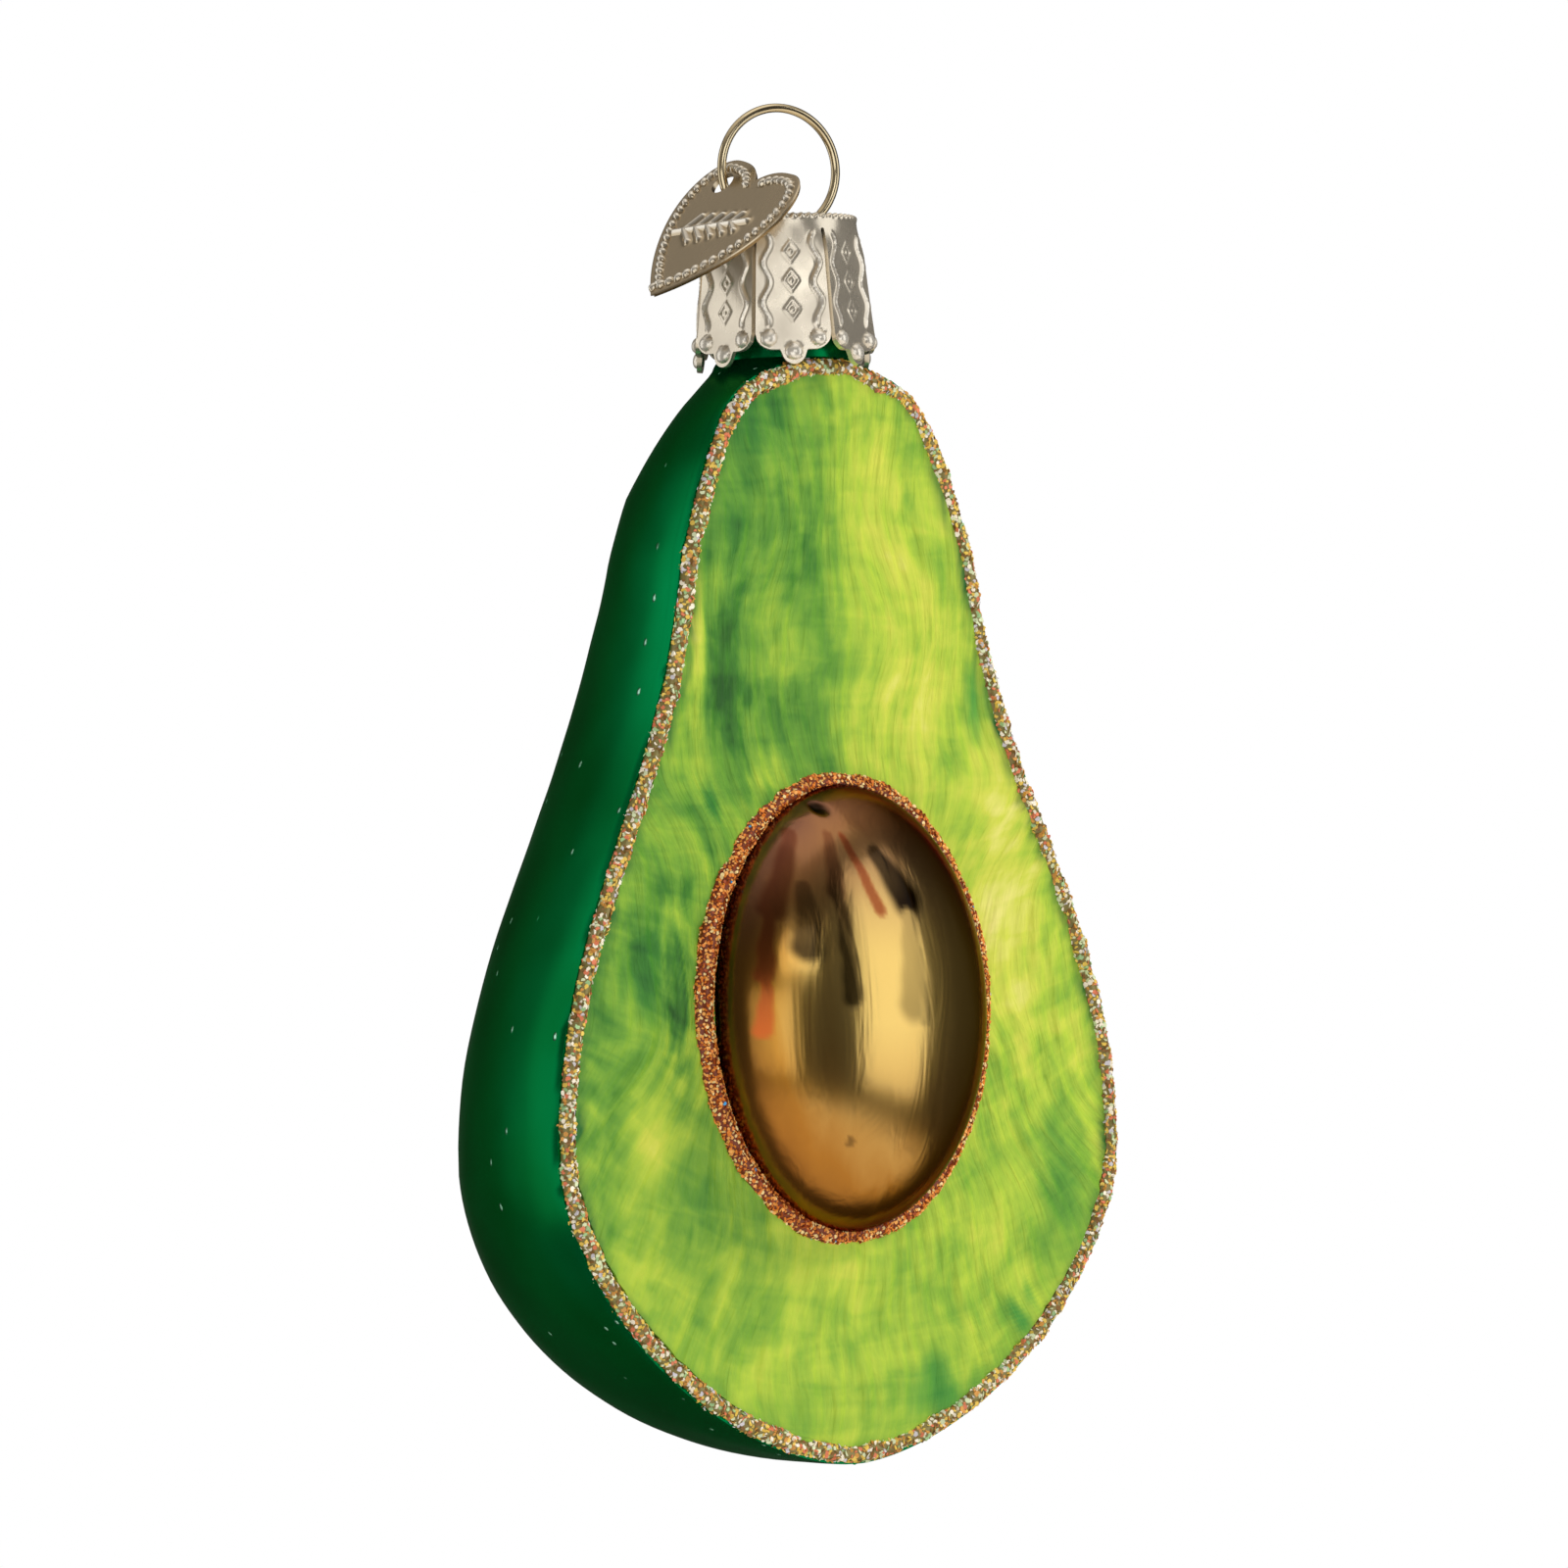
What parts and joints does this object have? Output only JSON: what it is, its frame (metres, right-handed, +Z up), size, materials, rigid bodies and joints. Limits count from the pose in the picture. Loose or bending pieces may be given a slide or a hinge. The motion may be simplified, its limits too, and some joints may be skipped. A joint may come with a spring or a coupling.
{
  "type": "glass avocado ornament",
  "caption": "Hanging ornament of blown glass shaped as a halved avocado with its pit, with a crimped crown cap, a sprung wire ring and a heart tag.",
  "frame": {"origin": "the hang point: the inside top of the wire ring, on the axis of the glass neck", "axes": "+Z up along the neck, the flat cut face looks towards -Y, +X to the right as the cut face is seen"},
  "size_m": [0.0576, 0.0367, 0.1027],
  "materials": {
    "green_lacquered_glass": "mould-blown glass with gloss green lacquer",
    "brushed_enamel": "hand-brushed satin enamel",
    "brown_lacquer": "translucent gloss lacquer over silvered glass",
    "gold_glitter": "coarse glitter in clear glue",
    "copper_glitter": "fine glitter in clear glue",
    "stamped_nickel": "stamped sheet, nickel plated",
    "spring_wire": "bright drawn spring wire"
  },
  "bodies": {
    "hanger": {"hanger_wire": "spring_wire"},
    "cap": {"cap": "stamped_nickel"},
    "glass": {"glass_body": "green_lacquered_glass", "flesh_enamel": "brushed_enamel", "pit_lacquer": "brown_lacquer", "rim_glitter": "gold_glitter", "pit_glitter": "copper_glitter"},
    "charm": {"heart_charm": "stamped_nickel"}
  },
  "joints": [
    {"name": "hanger_pull", "type": "slide", "parent": "hanger", "child": "cap", "axis": [0, 0, -1], "range_m": [0, 0.005]},
    {"name": "cap_turn", "type": "hinge", "parent": "cap", "child": "glass", "pos_m": [0, 0, 0], "axis": [0, 0, 1], "continuous": true},
    {"name": "charm_swing", "type": "hinge", "parent": "hanger", "child": "charm", "pos_m": [-0.0043, 0.00148, -0.00554], "axis": [0, 1, 0], "range_deg": [0, 60]}
  ]
}
